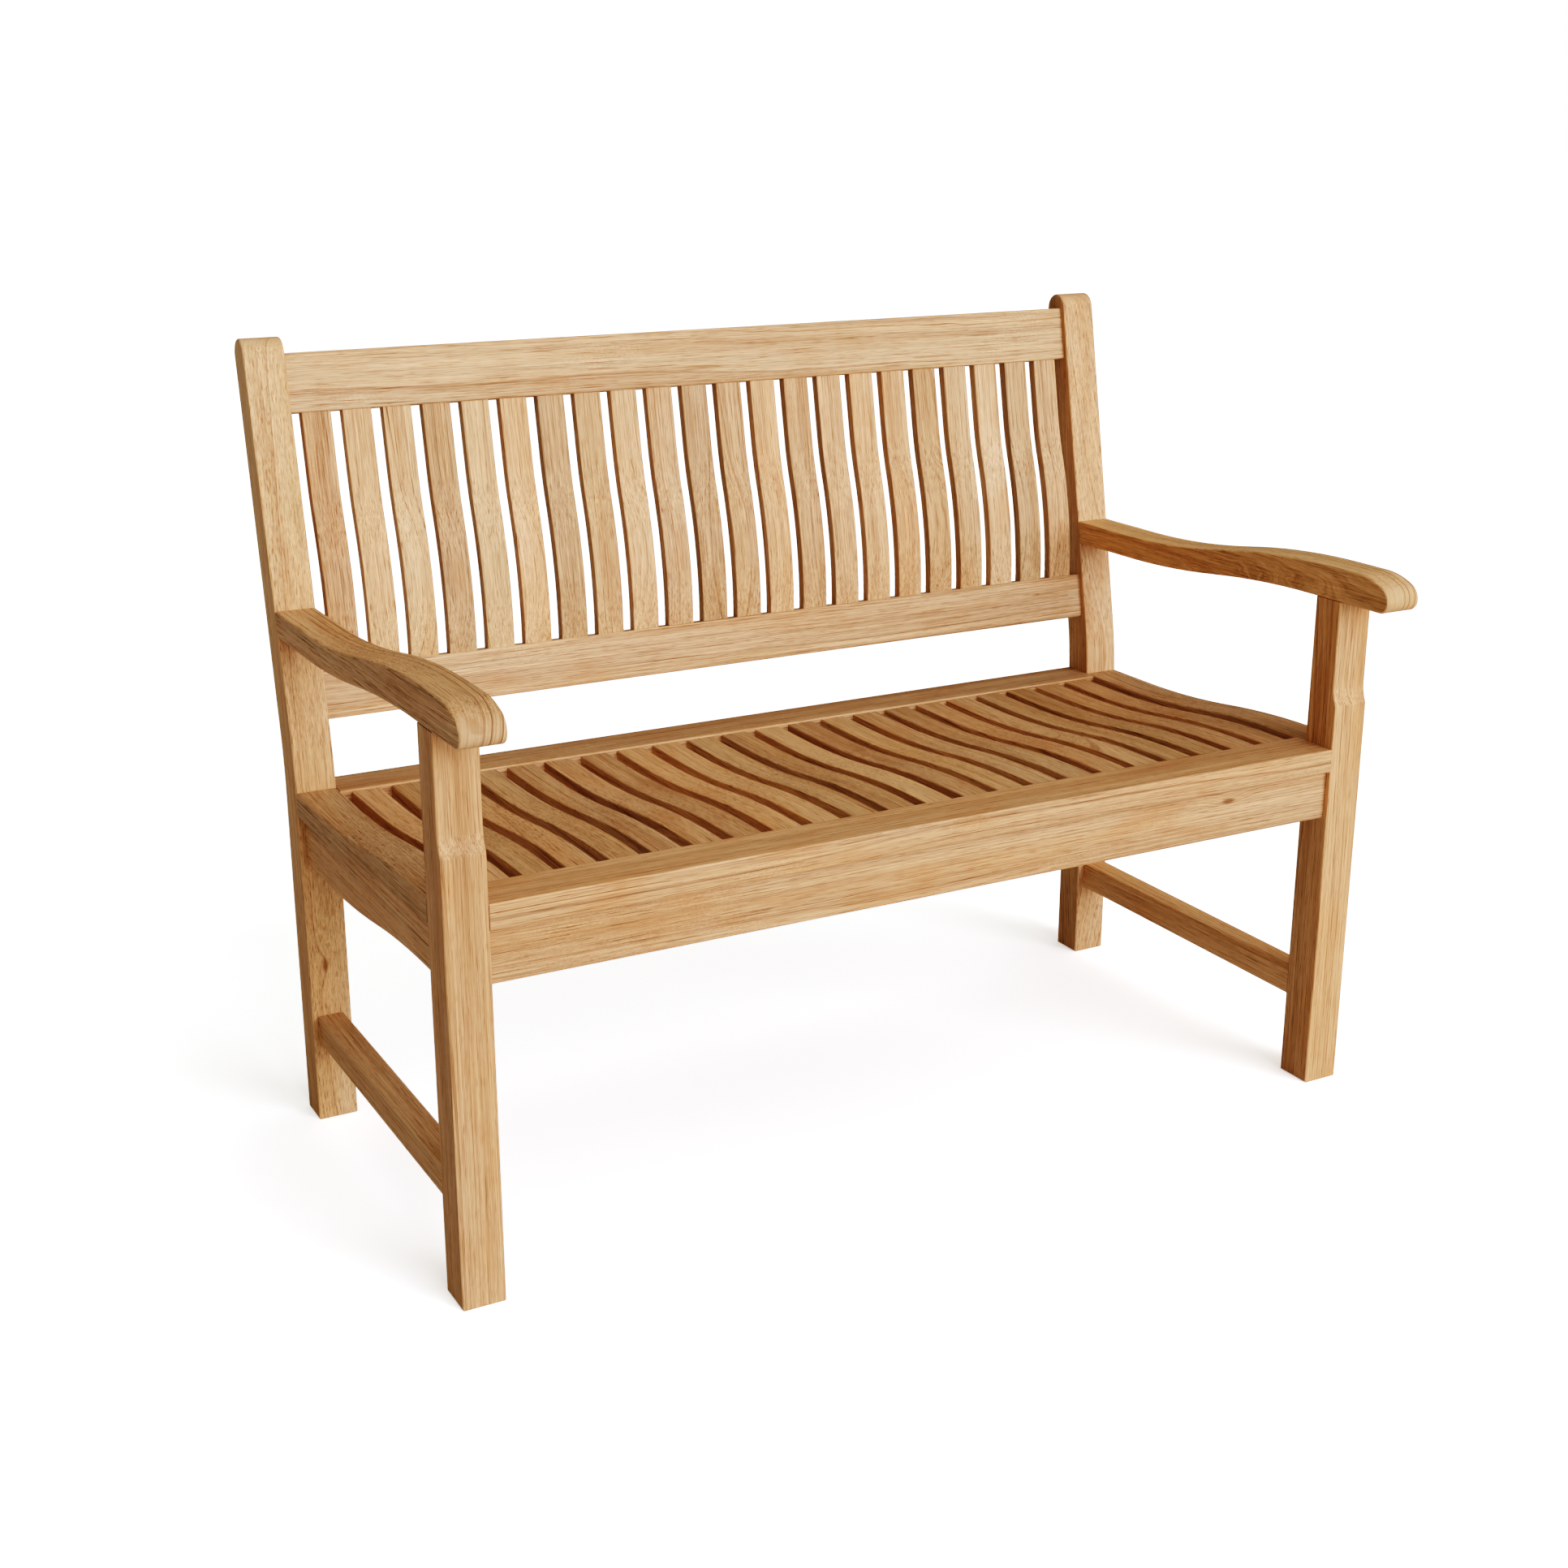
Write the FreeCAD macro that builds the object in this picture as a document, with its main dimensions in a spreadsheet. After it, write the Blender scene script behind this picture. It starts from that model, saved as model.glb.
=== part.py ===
import FreeCAD, Part
import os
import Sketcher

# Garden bench: a two-seat hardwood bench, joined with mortises, tenons and pegs.
# Millimetres. +X is the sitter's left-to-right seen from the front, +Y is the back, +Z is up.
# Side views are drawn with y measured backwards from the nose of the arms and z from the ground.

DRIVING_SIZES = [
    ("overall_width", 1220, "outer face to outer face of the legs"),
    ("overall_height", 965, "ground to the top of the back posts"),
    ("frame_depth", 560, "front of the front legs to back of the back legs"),
    ("nose_overhang", 73, "arm nose in front of the front legs"),
    ("leg_width", 50, "width of legs, posts, arms and side boards"),
    ("leg_depth", 50, "front leg, front to back, below the shoulder"),
    ("leg_setback", 6, "how far the front leg steps back at its shoulder"),
    ("shoulder_rise", 56, "foot of the shoulder above the seat's front edge"),
    ("shoulder_height", 25, "height of the hollow shoulder"),
    ("shoulder_softness", 9, "rounding where the shoulder meets the leg's front"),
    ("post_depth", 46, "back post, front to back, below the bend"),
    ("post_top_radius", 19.5, "rounding over the top of a back post"),
    ("bend_rise", 26, "bend of the back post above the seat's rear edge"),
    ("bend_radius", 450, "radius of the bend"),
    ("back_slope", 0.191, "how far the back leans for each unit of height"),
    ("seat_height", 457.5, "top of the front board"),
    ("seat_fall", 22.5, "how much lower the rear board lies"),
    ("seat_flat_front", 14, "level part of the slats behind the front board"),
    ("seat_flat_rear", 68, "level part of the slats before the rear board"),
    ("board_thickness", 30, "front, rear and side seat boards"),
    ("front_board_width", 66, "front board, front to back"),
    ("rear_board_width", 62, "rear board, front to back"),
    ("apron_height", 62, "the four aprons"),
    ("apron_thickness", 28, "the four aprons"),
    ("reveal", 8, "aprons, back rails and stretchers behind the leg faces"),
    ("slat_count", 22, "slats in the seat, and as many in the back"),
    ("slat_width", 36, "every slat"),
    ("seat_slat_thickness", 20, "seat slats"),
    ("seat_slat_sink", 2.5, "seat slats below the boards"),
    ("back_slat_thickness", 14, "back slats"),
    ("back_slat_sink", 2.5, "back slats behind the rails' front faces"),
    ("lumbar_bulge", 9, "how far a back slat bows forward"),
    ("lumbar_share", 0.32, "place of the bow, as a share of the bare slat"),
    ("runout_share", 0.43, "length over which the bow fades, as such a share"),
    ("lower_rail_rise", 58, "lower back rail above the bend, along the back"),
    ("lower_rail_width", 61, "lower back rail"),
    ("top_rail_drop", 16.5, "top rail below the tops of the posts"),
    ("top_rail_width", 71, "top back rail"),
    ("rail_thickness", 28, "both back rails"),
    ("arm_height", 652, "top of the arm where it meets the post"),
    ("arm_rise", 34, "how much higher the arm is at the front"),
    ("arm_thickness", 31, "arm at the post"),
    ("arm_front_thickness", 41.5, "arm over the front leg"),
    ("arm_flat_front", 30, "level top of the arm behind the leg's front"),
    ("arm_flat_under", 60, "level underside of the arm behind the leg's front"),
    ("arm_flat_rear", 115, "level part of the arm in front of the post"),
    ("nose_fall", 55, "how far behind its nose the arm's top starts to fall"),
    ("nose_crown_radius", 103, "radius of that fall"),
    ("nose_top_radius", 20, "upper rounding of the nose itself"),
    ("stretcher_clearance", 103, "ground to the side stretchers"),
    ("stretcher_height", 38, "side stretchers"),
    ("stretcher_width", 32, "side stretchers"),
    ("bearer_width", 30, "bearer under the middle of the seat"),
    ("bearer_depth", 40, "bearer, from the slats down"),
    ("eased_edge", 2.5, "rounding of the long edges of the frame"),
    ("slat_edge", 1.5, "rounding of the long edges of the slats"),
    ("tenon_length", 30, "tenons of the cross pieces"),
    ("tenon_thickness", 10, "all rail and apron tenons"),
    ("stub_length", 14, "tenons of the side pieces and the arms"),
    ("slat_tenon_length", 12, "slat tenons"),
    ("slat_tenon_thickness", 7, "slat tenons"),
    ("tenon_shoulder", 6, "wood left beside a tenon"),
    ("fit_gap", 0.3, "clearance around a tenon in its mortise"),
    ("peg_diameter", 8, "pegs"),
    ("peg_hole_gap", 0.2, "clearance around a peg"),
    ("peg_inset", 9, "pegs from the inner faces of the legs"),
    ("peg_pitch", 26, "the two pegs of a joint"),
    ("peg_sink", 0.5, "outer end of a peg below the surface"),
    ("peg_tip", 1, "inner end of a peg past its tenon"),
    ("drill_overrun", 12, "peg holes cut past the face they come out of"),
]

SIDES = {"left": -1, "right": 1}

doc = FreeCAD.newDocument("GardenBench")
sheet = doc.addObject("Spreadsheet::Sheet", "Sizes")
for row, (alias, number, note) in enumerate(DRIVING_SIZES, start=1):
    sheet.set(f"A{row}", str(number))
    sheet.setAlias(f"A{row}", alias)
    sheet.set(f"B{row}", note)
doc.recompute()


def value(expression):
    return float(sheet.evalExpression(str(expression)))


# Places that several pieces share, as expressions of the driving sizes.
clear_width = "(Sizes.overall_width - 2 * Sizes.leg_width)"
slat_gap = f"(({clear_width} - Sizes.slat_count * Sizes.slat_width) / (Sizes.slat_count + 1))"
slat_pitch = f"(Sizes.slat_width + {slat_gap})"

leg_front = "Sizes.nose_overhang"
leg_back = "(Sizes.nose_overhang + Sizes.leg_depth)"
post_back = "(Sizes.nose_overhang + Sizes.frame_depth)"
post_front = f"({post_back} - Sizes.post_depth)"

seat_rear_height = "(Sizes.seat_height - Sizes.seat_fall)"
front_board_rear = f"({leg_front} + Sizes.front_board_width)"
rear_board_front = f"({post_back} - Sizes.rear_board_width)"
seat_curve_front = f"({front_board_rear} + Sizes.seat_flat_front)"
seat_curve_rear = f"({rear_board_front} - Sizes.seat_flat_rear)"
seat_curve_middle = f"(({seat_curve_front} + {seat_curve_rear}) / 2)"
seat_curve_run = f"({seat_curve_rear} - {seat_curve_front})"
seat_curve_radius = f"(({seat_curve_run} ^ 2 + Sizes.seat_fall ^ 2) / (4 * Sizes.seat_fall))"
front_apron_top = "(Sizes.seat_height - Sizes.board_thickness)"
rear_apron_top = f"({seat_rear_height} - Sizes.board_thickness)"
front_apron_back = f"({leg_front} + Sizes.reveal + Sizes.apron_thickness)"
rear_apron_front = f"({post_back} - Sizes.reveal - Sizes.apron_thickness)"

# The back leans about a line through the bend. "Along" is measured up the lean from there,
# and "behind" squarely backwards from the front faces of the posts.
lean_length = "sqrt(1 + Sizes.back_slope ^ 2)"
lean_sine = f"(Sizes.back_slope / {lean_length})"
lean_cosine = f"(1 / {lean_length})"
lean_angle = "atan(Sizes.back_slope)"
bend_height = f"({seat_rear_height} + Sizes.bend_rise)"
lower_rail_top = "(Sizes.lower_rail_rise + Sizes.lower_rail_width)"
top_rail_top = f"((Sizes.overall_height - Sizes.top_rail_drop - {bend_height}) / {lean_cosine})"
top_rail_bottom = f"({top_rail_top} - Sizes.top_rail_width)"
bare_slat = f"({top_rail_bottom} - {lower_rail_top})"
rail_middle = "(Sizes.reveal + Sizes.rail_thickness / 2)"
slat_front = "(Sizes.reveal + Sizes.back_slat_sink)"


def leaning_y(along, behind):
    return f"({post_front} + ({behind}) * {lean_cosine} + ({along}) * {lean_sine})"


def leaning_z(along, behind):
    return f"({bend_height} - ({behind}) * {lean_sine} + ({along}) * {lean_cosine})"


# The post narrows from its bend to its round top, so its rear line touches the top circle.
top_circle_z = "(Sizes.overall_height - Sizes.post_top_radius)"
top_circle_y = (
    f"({post_front} + ({top_circle_z} - {bend_height}) * Sizes.back_slope"
    f" + Sizes.post_top_radius / {lean_cosine})"
)
rear_run_y = f"({top_circle_y} - {post_back})"
rear_run_z = f"({top_circle_z} - {bend_height})"
rear_run_squared = f"({rear_run_y} ^ 2 + {rear_run_z} ^ 2)"
rear_line = f"sqrt({rear_run_squared} - Sizes.post_top_radius ^ 2)"
rear_sine = f"(({rear_run_y} * {rear_line} + {rear_run_z} * Sizes.post_top_radius) / {rear_run_squared})"
rear_cosine = f"(({rear_run_z} * {rear_line} - {rear_run_y} * Sizes.post_top_radius) / {rear_run_squared})"
overall_depth = f"({top_circle_y} + Sizes.post_top_radius)"

arm_front_top = "(Sizes.arm_height + Sizes.arm_rise)"
arm_front_under = f"({arm_front_top} - Sizes.arm_front_thickness)"
arm_rear_under = "(Sizes.arm_height - Sizes.arm_thickness)"


def front_of_post(height):
    return f"({post_front} + ({height} - {bend_height}) * Sizes.back_slope)"


def back_of_post(height):
    return f"({post_back} + ({height} - {bend_height}) * {rear_sine} / {rear_cosine})"


def new_body(label, x="0", y="0", z="0", leaning=False):
    """A body in the bench's own frame; a leaning one is turned with the back."""
    body = doc.addObject("PartDesign::Body", label)
    body.Label = label
    if leaning:
        body.Placement = FreeCAD.Placement(FreeCAD.Vector(), FreeCAD.Rotation(FreeCAD.Vector(1, 0, 0), -1))
        body.setExpression("Placement.Rotation.Angle", f"-{lean_angle}")
    body.setExpression("Placement.Base.x", str(x))
    body.setExpression("Placement.Base.y", f"{y} - {overall_depth} / 2")
    body.setExpression("Placement.Base.z", str(z))
    return body


def origin_feature(body, role):
    return next(item for item in body.Origin.OriginFeatures if item.Role == role)


def arc_between(start, end, radius, turn):
    """The shorter arc between two points; turn is 1 where it runs anticlockwise."""
    chord = end - start
    rise = (radius ** 2 - (chord.Length / 2) ** 2) ** 0.5
    across = FreeCAD.Vector(-chord.y, chord.x, 0).normalize()
    centre = (start + end) / 2 + across * rise * turn
    first, last = (start, end) if turn > 0 else (end, start)
    circle = Part.Circle(centre, FreeCAD.Vector(0, 0, 1), radius)
    return Part.ArcOfCircle(circle, circle.parameter(first), circle.parameter(last))


def outline(body, name, corners, arcs=None):
    """A closed side-view sketch. Every corner is a pair of expressions; arcs maps the number
    of the corner where an arc starts to its radius and turn."""
    arcs = arcs or {}
    sketch = body.newObject("Sketcher::SketchObject", name)
    sketch.AttachmentSupport = [(origin_feature(body, "YZ_Plane"), "")]
    sketch.MapMode = "FlatFace"
    points = [FreeCAD.Vector(value(y), value(z), 0) for y, z in corners]
    count = len(points)
    starts = []
    ends = []
    for number, point in enumerate(points):
        following = points[(number + 1) % count]
        if number in arcs:
            radius, turn = arcs[number]
            sketch.addGeometry(arc_between(point, following, value(radius), turn), False)
            starts.append(1 if turn > 0 else 2)
            ends.append(2 if turn > 0 else 1)
        else:
            sketch.addGeometry(Part.LineSegment(point, following), False)
            starts.append(1)
            ends.append(2)
    for number in range(count):
        following = (number + 1) % count
        sketch.addConstraint(
            Sketcher.Constraint("Coincident", number, ends[number], following, starts[following])
        )
    for number, (y, z) in enumerate(corners):
        for kind, expression in (("DistanceX", y), ("DistanceY", z)):
            index = sketch.addConstraint(
                Sketcher.Constraint(kind, -1, 1, number, starts[number], value(expression))
            )
            sketch.setExpression(f"Constraints[{index}]", expression)
    for number, (radius, turn) in arcs.items():
        index = sketch.addConstraint(Sketcher.Constraint("Radius", number, value(radius)))
        sketch.setExpression(f"Constraints[{index}]", str(radius))
    return sketch


def pad(body, sketch, width):
    feature = body.newObject("PartDesign::Pad", "Sawn")
    feature.Profile = sketch
    feature.setExpression("Length", str(width))
    sketch.Visibility = False
    doc.recompute()
    return feature


def ease(body, feature, wanted, radius="Sizes.eased_edge"):
    """Rounds the edges of a feature that the test picks by their middles and directions."""
    names = []
    for number, edge in enumerate(feature.Shape.Edges, start=1):
        middle = edge.valueAt((edge.FirstParameter + edge.LastParameter) / 2)
        span = edge.Vertexes[-1].Point - edge.Vertexes[0].Point
        if wanted(middle, span):
            names.append(f"Edge{number}")
    fillet = body.newObject("PartDesign::Fillet", "EasedEdges")
    fillet.Base = (feature, names)
    fillet.setExpression("Radius", radius)
    doc.recompute()
    return fillet


def block(body, kind, name, corner, extent):
    """A box that is added to a body as a tenon or cut from it as a mortise."""
    feature = body.newObject(f"PartDesign::{kind}Box", name)
    for axis, expression in zip("xyz", corner):
        feature.setExpression(f"Placement.Base.{axis}", str(expression))
    for side, expression in zip(("Length", "Width", "Height"), extent):
        feature.setExpression(side, str(expression))
    return feature


def tenon(body, name, corner, extent):
    return block(body, "Additive", name, corner, extent)


def mortise(body, name, corner, extent):
    """A pocket larger all round by the clearance than the tenon with this corner and extent."""
    roomy_corner = [f"({expression}) - Sizes.fit_gap" for expression in corner]
    roomy_extent = [f"({expression}) + 2 * Sizes.fit_gap" for expression in extent]
    return block(body, "Subtractive", name, roomy_corner, roomy_extent)


def peg_hole(body, name, start, length, leaning=False):
    """A round hole that runs backwards from its start."""
    feature = body.newObject("PartDesign::SubtractiveCylinder", name)
    feature.Placement = FreeCAD.Placement(
        FreeCAD.Vector(), FreeCAD.Rotation(FreeCAD.Vector(1, 0, 0), -90)
    )
    if leaning:
        feature.setExpression("Placement.Rotation.Angle", f"-90 deg - {lean_angle}")
    for axis, expression in zip("xyz", start):
        feature.setExpression(f"Placement.Base.{axis}", str(expression))
    feature.setExpression("Radius", "Sizes.peg_diameter / 2 + Sizes.peg_hole_gap")
    feature.setExpression("Height", str(length))
    return feature


def left_edge_of(side):
    """Where a leg, post, arm or side board starts along X."""
    return "-Sizes.overall_width / 2" if side < 0 else "(Sizes.overall_width / 2 - Sizes.leg_width)"


def from_inner_face(side, depth, length):
    """Start along a leg's own X of something that lies this deep behind its inner face."""
    return f"(Sizes.leg_width - ({depth}) - ({length}))" if side < 0 else f"({depth})"


def side_piece_start(side, width):
    """Start along a leg's own X of an apron or stretcher set back from the outer face."""
    return "Sizes.reveal" if side < 0 else f"(Sizes.leg_width - Sizes.reveal - {width})"


# Every tenon is described once, as a corner and an extent, and both of its pieces read it.


def cross_tenon(side, y, z, width, height, length="Sizes.tenon_length"):
    """The end of a cross piece, in a leg's own X: it enters through the inner face."""
    return (from_inner_face(side, 0, length), y, z), (length, width, height)


def end_tenon(end, y, z, width, height, length="Sizes.tenon_length"):
    """The same tenon in the cross piece's own X, which starts at the left leg's inner face."""
    start = f"-({length})" if end < 0 else clear_width
    return (start, y, z), (length, width, height)


front_apron_tenon = (
    f"({leg_front} + Sizes.reveal + (Sizes.apron_thickness - Sizes.tenon_thickness) / 2)",
    f"({front_apron_top} - Sizes.apron_height + Sizes.tenon_shoulder)",
    "Sizes.tenon_thickness",
    "(Sizes.apron_height - 2 * Sizes.tenon_shoulder)",
)
rear_apron_tenon = (
    f"({rear_apron_front} + (Sizes.apron_thickness - Sizes.tenon_thickness) / 2)",
    f"({rear_apron_top} - Sizes.apron_height + Sizes.tenon_shoulder)",
    "Sizes.tenon_thickness",
    "(Sizes.apron_height - 2 * Sizes.tenon_shoulder)",
)
front_board_tenon = (
    f"({leg_front} + 2 * Sizes.tenon_shoulder)",
    f"({front_apron_top} + (Sizes.board_thickness - Sizes.tenon_thickness) / 2)",
    "(Sizes.leg_depth - Sizes.stub_length - 3 * Sizes.tenon_shoulder)",
    "Sizes.tenon_thickness",
)
rear_board_tenon = (
    f"({post_front} + Sizes.stub_length + Sizes.tenon_shoulder / 2)",
    f"({rear_apron_top} + (Sizes.board_thickness - Sizes.tenon_thickness) / 2)",
    "(Sizes.post_depth - Sizes.stub_length - 2 * Sizes.tenon_shoulder)",
    "Sizes.tenon_thickness",
)


def rail_tenon(bottom, width):
    """Tenon of a back rail: start behind the posts' fronts and along the lean, and its section."""
    return (
        f"({rail_middle} - Sizes.tenon_thickness / 2)",
        f"({bottom} + Sizes.tenon_shoulder)",
        "Sizes.tenon_thickness",
        f"({width} - 2 * Sizes.tenon_shoulder)",
    )


RAILS = {
    "lower_back_rail": ("Sizes.lower_rail_rise", "Sizes.lower_rail_width"),
    "top_back_rail": (top_rail_bottom, "Sizes.top_rail_width"),
}


def stub_ends(front, back):
    """Starts along Y of the front and rear stub tenons of a piece between these two faces."""
    return {"Front": f"({front} - Sizes.stub_length)", "Rear": str(back)}


def side_stub(side, end_y, bottom, height, width, thickness):
    """A stub tenon of a side piece, in the leg's own X."""
    start = side_piece_start(side, width)
    return (
        (f"({start} + ({width} - {thickness}) / 2)", end_y, f"({bottom} + Sizes.tenon_shoulder)"),
        (thickness, "Sizes.stub_length", f"({height} - 2 * Sizes.tenon_shoulder)"),
    )


def apron_stub(side, end):
    top = front_apron_top if end == "Front" else rear_apron_top
    end_y = stub_ends(leg_back, post_front)[end]
    bottom = f"({top} - Sizes.apron_height)"
    return side_stub(
        side, end_y, bottom, "Sizes.apron_height", "Sizes.apron_thickness", "Sizes.tenon_thickness"
    )


def stretcher_stub(side, end):
    end_y = stub_ends(leg_back, post_front)[end]
    return side_stub(
        side, end_y, "Sizes.stretcher_clearance", "Sizes.stretcher_height", "Sizes.stretcher_width",
        "Sizes.tenon_thickness",
    )


def side_board_stub(end):
    """The side board's stub, which lies flat in the middle of the leg's width."""
    top = "Sizes.seat_height" if end == "Front" else seat_rear_height
    end_y = stub_ends(leg_back, post_front)[end]
    return (
        ("2 * Sizes.tenon_shoulder", end_y, f"({top} - (Sizes.board_thickness + Sizes.tenon_thickness) / 2)"),
        ("Sizes.leg_width - 4 * Sizes.tenon_shoulder", "Sizes.stub_length", "Sizes.tenon_thickness"),
    )


leg_top_tenon = (
    (
        "2 * Sizes.tenon_shoulder",
        f"({leg_front} + Sizes.leg_setback + 2 * Sizes.tenon_shoulder)",
        arm_front_under,
    ),
    (
        "Sizes.leg_width - 4 * Sizes.tenon_shoulder",
        "Sizes.leg_depth - Sizes.leg_setback - 4 * Sizes.tenon_shoulder",
        "Sizes.stub_length + Sizes.tenon_shoulder",
    ),
)
arm_rear_bottom = f"({arm_rear_under} + 1.5 * Sizes.tenon_shoulder)"
arm_rear_tenon = (
    ("2 * Sizes.tenon_shoulder", front_of_post(arm_rear_under), arm_rear_bottom),
    (
        "Sizes.leg_width - 4 * Sizes.tenon_shoulder",
        f"Sizes.stub_length + ({arm_rear_bottom} - {arm_rear_under}) * Sizes.back_slope",
        "Sizes.arm_thickness - 3 * Sizes.tenon_shoulder",
    ),
)

# Pegs, two to a joint, each given by its start, its length and whether it leans with the back.


def level_pegs(front, back, middle):
    """The two pegs of an apron joint, above and below its middle."""
    length = f"({back} - ({front}) - Sizes.peg_sink)"
    return [(front, f"({middle} + {step} * Sizes.peg_pitch / 2)", length, False) for step in (-1, 1)]


def rail_pegs(bottom, width):
    """The same for a back rail, whose pegs lie square to the leaning back."""
    pegs = []
    behind = f"({rail_middle} - Sizes.tenon_thickness / 2 - Sizes.peg_tip)"
    for step in (-1, 1):
        along = f"({bottom} + {width} / 2 + {step} * Sizes.peg_pitch / 2)"
        height = leaning_z(along, "Sizes.post_depth")
        depth = f"(({back_of_post(height)} - {front_of_post(height)}) * {lean_cosine})"
        length = f"({depth} - {behind} - Sizes.peg_sink)"
        pegs.append((leaning_y(along, behind), leaning_z(along, behind), length, True))
    return pegs


front_joint_pegs = level_pegs(
    f"({front_apron_tenon[0]} - Sizes.peg_tip)", leg_back,
    f"({front_apron_top} - Sizes.apron_height / 2)",
)
rear_joint_pegs = level_pegs(
    f"({rear_apron_tenon[0]} - Sizes.peg_tip)", post_back,
    f"({rear_apron_top} - Sizes.apron_height / 2)",
)
back_joint_pegs = [peg for bottom, width in RAILS.values() for peg in rail_pegs(bottom, width)]


def peg_holes(body, side, pegs):
    """Holes in a leg or post for these pegs; they come out through its back face."""
    for number, (y, z, length, leaning) in enumerate(pegs, start=1):
        x = from_inner_face(side, "Sizes.peg_inset", 0)
        peg_hole(body, f"PegHole{number}", (x, y, z), f"{length} + Sizes.drill_overrun", leaning)


def cross_peg_holes(body, y_start, heights):
    """Holes through the tenons at both ends of a cross piece."""
    for end, x in (("Left", "-Sizes.peg_inset"), ("Right", f"({clear_width} + Sizes.peg_inset)")):
        for number, z in enumerate(heights, start=1):
            peg_hole(body, f"{end}PegHole{number}", (x, y_start, z), "2 * Sizes.tenon_thickness")


def flat_sides(skip=lambda middle: False):
    """Picks the edges around the two flat sides of a side-view piece, except where told."""
    return lambda middle, span: abs(span.x) < 1e-6 and not skip(middle)


def lengthwise(middle, span):
    """Picks the edges that run along X."""
    return abs(span.x) > 1 and abs(span.y) < 1e-6 and abs(span.z) < 1e-6


def front_leg(name, side):
    body = new_body(f"front_leg_{name}", left_edge_of(side))
    shoulder_foot = "(Sizes.seat_height + Sizes.shoulder_rise)"
    shoulder_top = f"({shoulder_foot} + Sizes.shoulder_height)"
    hollow = "((Sizes.shoulder_height ^ 2 + Sizes.leg_setback ^ 2) / (2 * Sizes.leg_setback))"
    stepped = f"({leg_front} + Sizes.leg_setback)"
    corners = [
        (leg_front, "0"),
        (leg_back, "0"),
        (leg_back, arm_front_under),
        (stepped, arm_front_under),
        (stepped, shoulder_top),
        (leg_front, shoulder_foot),
    ]
    sketch = outline(body, "SideView", corners, {4: (hollow, -1)})
    sawn = pad(body, sketch, "Sizes.leg_width")
    foot = value(shoulder_foot)
    top = value(arm_front_under)

    def crease(middle, span):
        return abs(span.x) > 1 and abs(middle.z - foot) < 1e-3

    softened = ease(body, sawn, crease, "Sizes.shoulder_softness")
    ease(body, softened, flat_sides(lambda middle: abs(middle.z - top) < 1e-3))
    tenon(body, "ArmTenon", *leg_top_tenon)
    mortise(body, "BoardMortise", *cross_tenon(side, *front_board_tenon))
    mortise(body, "ApronMortise", *cross_tenon(side, *front_apron_tenon))
    mortise(body, "SideApronMortise", *apron_stub(side, "Front"))
    mortise(body, "SideBoardMortise", *side_board_stub("Front"))
    mortise(body, "StretcherMortise", *stretcher_stub(side, "Front"))
    peg_holes(body, side, front_joint_pegs)
    return body


def back_post(name, side):
    body = new_body(f"back_post_{name}", left_edge_of(side))
    half_front = f"(Sizes.bend_radius * {lean_sine} / (1 + {lean_cosine}))"
    half_rear = f"(Sizes.bend_radius * {rear_sine} / (1 + {rear_cosine}))"
    rear_tangent = (
        f"({post_back} + {rear_line} * {rear_sine})",
        f"({bend_height} + {rear_line} * {rear_cosine})",
    )
    front_tangent = (
        f"({top_circle_y} - Sizes.post_top_radius * {lean_cosine})",
        f"({top_circle_z} + Sizes.post_top_radius * {lean_sine})",
    )
    corners = [
        (post_front, "0"),
        (post_back, "0"),
        (post_back, f"({bend_height} - {half_rear})"),
        (f"({post_back} + {half_rear} * {rear_sine})", f"({bend_height} + {half_rear} * {rear_cosine})"),
        rear_tangent,
        (top_circle_y, "Sizes.overall_height"),
        front_tangent,
        (f"({post_front} + {half_front} * {lean_sine})", f"({bend_height} + {half_front} * {lean_cosine})"),
        (post_front, f"({bend_height} - {half_front})"),
    ]
    arcs = {
        2: ("Sizes.bend_radius", -1),
        4: ("Sizes.post_top_radius", 1),
        5: ("Sizes.post_top_radius", 1),
        7: ("Sizes.bend_radius", 1),
    }
    sketch = outline(body, "SideView", corners, arcs)
    sawn = pad(body, sketch, "Sizes.leg_width")
    ease(body, sawn, flat_sides())
    mortise(body, "RearBoardMortise", *cross_tenon(side, *rear_board_tenon))
    mortise(body, "RearApronMortise", *cross_tenon(side, *rear_apron_tenon))
    mortise(body, "SideApronMortise", *apron_stub(side, "Rear"))
    mortise(body, "SideBoardMortise", *side_board_stub("Rear"))
    mortise(body, "StretcherMortise", *stretcher_stub(side, "Rear"))
    mortise(body, "ArmMortise", *arm_rear_tenon)
    for rail, (bottom, width) in RAILS.items():
        behind, along, thickness, height = rail_tenon(bottom, width)
        place = (leaning_y(along, behind), leaning_z(along, behind))
        slot = mortise(body, f"Mortise_{rail}", *cross_tenon(side, *place, thickness, height))
        slot.Placement = FreeCAD.Placement(
            slot.Placement.Base, FreeCAD.Rotation(FreeCAD.Vector(1, 0, 0), -1)
        )
        slot.setExpression("Placement.Rotation.Angle", f"-{lean_angle}")
    peg_holes(body, side, rear_joint_pegs + back_joint_pegs)
    return body


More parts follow.
